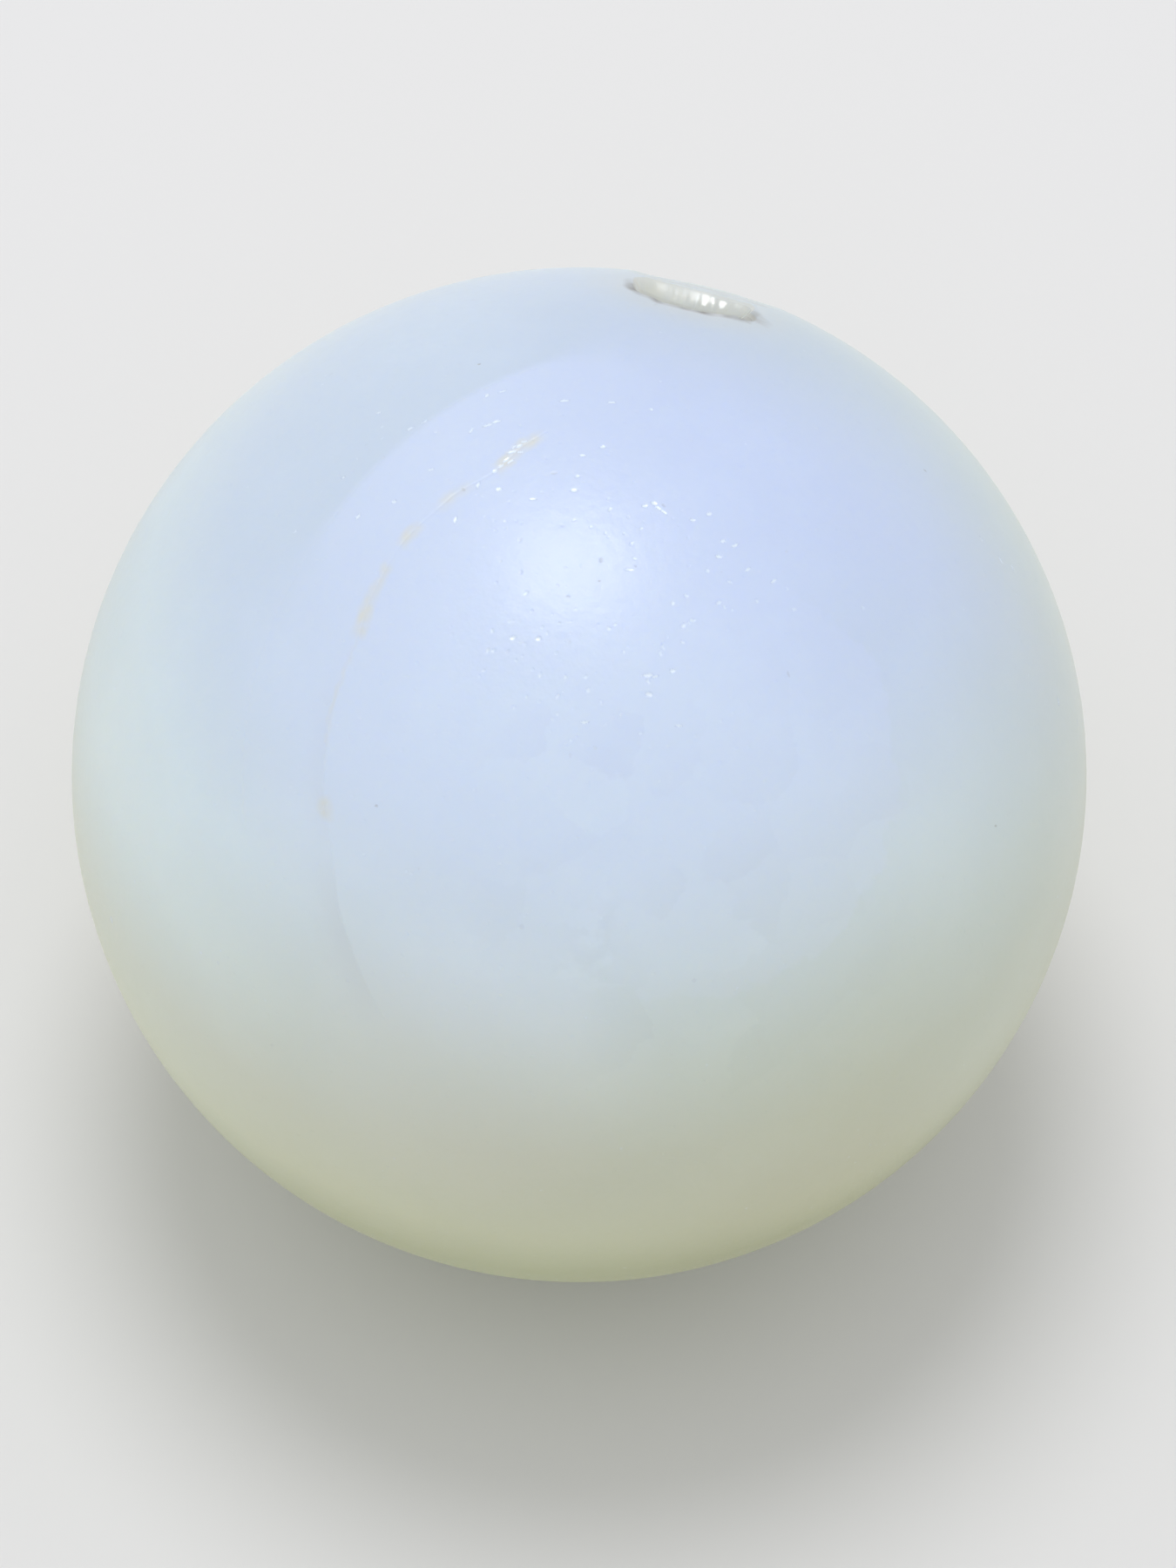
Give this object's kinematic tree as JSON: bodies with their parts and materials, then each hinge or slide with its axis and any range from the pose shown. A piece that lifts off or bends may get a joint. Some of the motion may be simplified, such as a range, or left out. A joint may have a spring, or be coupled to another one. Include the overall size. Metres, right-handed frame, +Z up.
{
  "type": "cue ball",
  "caption": "Plain milky white cue ball for billiards and pool: a solid cast sphere with a worn satin surface, a small shell-shaped chip and a stained hairline crack.",
  "frame": {"origin": "the ball's centre", "axes": "+Z up, so the ball touches the table at -Z; -Y faces the picture's camera; the chip lies 50 degrees above the equator on the +Y side"},
  "size_m": [0.0572, 0.0572, 0.0572],
  "materials": {
    "resin": "satin, milky and slightly translucent, worn"
  },
  "bodies": {
    "root": {"cue_ball": "resin"}
  },
  "joints": []
}
